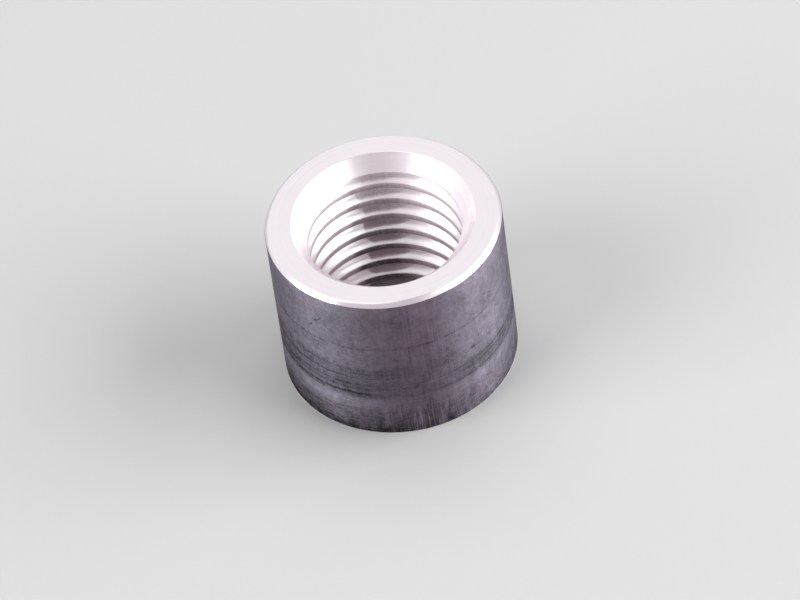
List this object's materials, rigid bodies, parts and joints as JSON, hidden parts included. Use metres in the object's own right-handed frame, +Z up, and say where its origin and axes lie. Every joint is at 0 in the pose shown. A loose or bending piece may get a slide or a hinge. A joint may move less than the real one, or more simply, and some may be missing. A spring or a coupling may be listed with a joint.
{
  "type": "round weld nut",
  "caption": "Plain round weld nut: a short turned metal cylinder with a tapped through hole, countersunk at both ends, that is welded onto a tube or plate to take a screw.",
  "frame": {"origin": "centre of the lower end face, on the axis of the thread", "axes": "+Z up along the thread axis towards the chamfered upper end; +X to the right and -Y towards the viewer of the picture"},
  "size_m": [0.016, 0.016, 0.0127],
  "materials": {
    "bare_aluminium": "bare: ends, countersinks and thread turned bright, side wall left dull as drawn bar"
  },
  "bodies": {
    "root": {"weld_nut": "bare_aluminium"}
  },
  "joints": []
}
